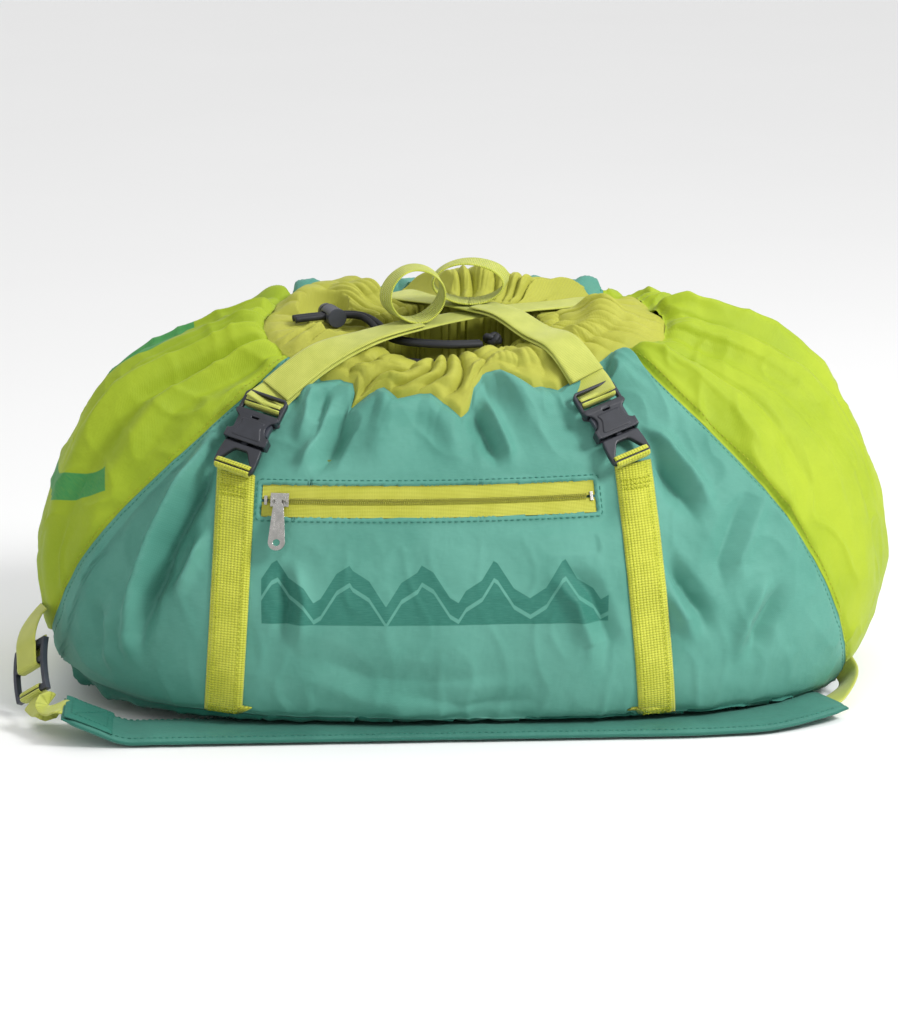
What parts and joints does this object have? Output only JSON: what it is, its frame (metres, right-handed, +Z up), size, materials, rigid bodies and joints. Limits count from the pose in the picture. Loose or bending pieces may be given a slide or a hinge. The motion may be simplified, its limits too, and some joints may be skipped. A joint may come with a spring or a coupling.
{
  "type": "rope storage bag",
  "caption": "Stuffed fabric rope bag with gathered drawcord mouth, two buckled top straps, a zipped front pocket and a padded shoulder strap.",
  "frame": {"origin": "middle of the bag's flat base, on the floor that it stands on", "axes": "+Z up, the bag's front with the pocket faces -Y, +X to the right seen from the front"},
  "size_m": [0.6022, 0.342, 0.289],
  "materials": {
    "teal_fabric": "matte woven",
    "lime_fabric": "matte woven",
    "olive_fabric": "soft satin woven",
    "yellow_webbing": "ribbed webbing",
    "olive_webbing": "ribbed webbing",
    "black_cord": "braided",
    "black_plastic": "fine matte",
    "nickel": "polished",
    "spring_steel": "plain",
    "pad_fabric": "matte woven",
    "dark_teal_fabric": "matte woven",
    "foam": "closed cell foam",
    "zip_coil": "moulded coil"
  },
  "bodies": {
    "bag": {"front_panel": "teal_fabric", "back_panel": "teal_fabric", "left_gusset": "lime_fabric", "right_gusset": "lime_fabric", "base_panel": "dark_teal_fabric", "mouth_collar": "olive_fabric", "zip_tape_upper": "yellow_webbing", "zip_tape_lower": "yellow_webbing", "zip_teeth_upper": "zip_coil", "zip_teeth_lower": "zip_coil", "zip_end_stops": "nickel", "pocket_lining": "dark_teal_fabric", "drawcord_casing": "olive_fabric", "drawcord": "black_cord", "drawcord_strand_rear": "black_cord", "drawcord_strand_front": "black_cord", "drawcord_knot": "black_cord", "gusset_web_loop": "yellow_webbing", "gusset_webbing": "yellow_webbing", "right_strap_tab": "dark_teal_fabric", "left_lower_webbing": "yellow_webbing", "left_buckle_plug": "black_plastic", "left_plug_web_loop": "yellow_webbing", "left_upper_strap": "olive_webbing", "left_strap_tail": "olive_webbing", "right_lower_webbing": "yellow_webbing", "right_buckle_plug": "black_plastic", "right_plug_web_loop": "yellow_webbing", "right_upper_strap": "olive_webbing", "right_strap_tail": "olive_webbing"},
    "zip_slider": {"zip_slider": "nickel"},
    "zip_puller": {"zip_puller": "nickel"},
    "cord_lock": {"cord_lock_body": "black_plastic", "cord_lock_spring": "spring_steel"},
    "cord_lock_button": {"cord_lock_button": "black_plastic"},
    "shoulder_strap": {"shoulder_pad_cover": "pad_fabric", "shoulder_pad_foam": "foam", "shoulder_pad_end_patch": "dark_teal_fabric", "strap_end_webbing": "yellow_webbing"},
    "ladder_lock": {"ladder_lock": "black_plastic"},
    "left_socket": {"left_buckle_socket": "black_plastic", "left_socket_web_loop": "olive_webbing"},
    "left_inner_arm": {"left_buckle_inner_arm": "black_plastic"},
    "left_outer_arm": {"left_buckle_outer_arm": "black_plastic"},
    "right_socket": {"right_buckle_socket": "black_plastic", "right_socket_web_loop": "olive_webbing"},
    "right_inner_arm": {"right_buckle_inner_arm": "black_plastic"},
    "right_outer_arm": {"right_buckle_outer_arm": "black_plastic"}
  },
  "joints": [
    {"name": "zip_slider_travel", "type": "hinge", "parent": "bag", "child": "zip_slider", "pos_m": [-0.02, 0.5005, 0.155], "axis": [0, 0, 1], "range_deg": [0, 17.19]},
    {"name": "zip_puller_swing", "type": "hinge", "parent": "zip_slider", "child": "zip_puller", "pos_m": [-0.11841, -0.13712, 0.15763], "axis": [-0.9883, 0.1525, 0], "range_deg": [0, 165]},
    {"name": "left_buckle_release", "type": "slide", "parent": "bag", "child": "left_socket", "axis": [0.4331, 0.5312, 0.7282], "range_m": [0, 0.026], "deforming": ["left_upper_strap", "left_strap_tail"]},
    {"name": "left_inner_arm_press", "type": "hinge", "parent": "bag", "child": "left_inner_arm", "pos_m": [-0.13309, -0.11259, 0.18706], "axis": [-0.1885, -0.7367, 0.6495], "range_deg": [0, 8], "stiffness_Nm_per_rad": 0.05},
    {"name": "left_outer_arm_press", "type": "hinge", "parent": "bag", "child": "left_outer_arm", "pos_m": [-0.14648, -0.10622, 0.19038], "axis": [0.1885, 0.7367, -0.6495], "range_deg": [0, 8]},
    {"name": "right_buckle_release", "type": "slide", "parent": "bag", "child": "right_socket", "axis": [-0.4358, 0.5598, 0.7047], "range_m": [0, 0.026], "deforming": ["right_upper_strap", "right_strap_tail"]},
    {"name": "right_inner_arm_press", "type": "hinge", "parent": "bag", "child": "right_inner_arm", "pos_m": [0.09833, -0.1194, 0.19184], "axis": [-0.0923, 0.7511, -0.6537], "range_deg": [0, 8], "stiffness_Nm_per_rad": 0.05},
    {"name": "right_outer_arm_press", "type": "hinge", "parent": "bag", "child": "right_outer_arm", "pos_m": [0.11194, -0.11408, 0.19603], "axis": [0.0923, -0.7511, 0.6537], "range_deg": [0, 8]},
    {"name": "cord_lock_slide", "type": "slide", "parent": "bag", "child": "cord_lock", "axis": [0.9545, 0.2982, 0], "range_m": [-0.002, 0.006]},
    {"name": "cord_lock_button_press", "type": "slide", "parent": "cord_lock", "child": "cord_lock_button", "axis": [0.2982, -0.9545, 0], "range_m": [0, 0.003], "stiffness_N_per_m": 300, "deforming": ["cord_lock_spring"]},
    {"name": "shoulder_strap_draw", "type": "slide", "parent": "bag", "child": "shoulder_strap", "axis": [0, -1, 0], "range_m": [0, 0.05], "deforming": ["gusset_webbing", "gusset_web_loop", "right_strap_tab"]},
    {"name": "ladder_lock_tilt", "type": "hinge", "parent": "shoulder_strap", "child": "ladder_lock", "pos_m": [-0.28393, -0.10875, 0.01789], "axis": [0.6592, -0.5272, 0.5362], "range_deg": [-6, 6]}
  ],
  "couplings": [
    {"joint": "left_outer_arm_press", "follows": "left_inner_arm_press", "ratio": 1},
    {"joint": "right_outer_arm_press", "follows": "right_inner_arm_press", "ratio": 1}
  ]
}
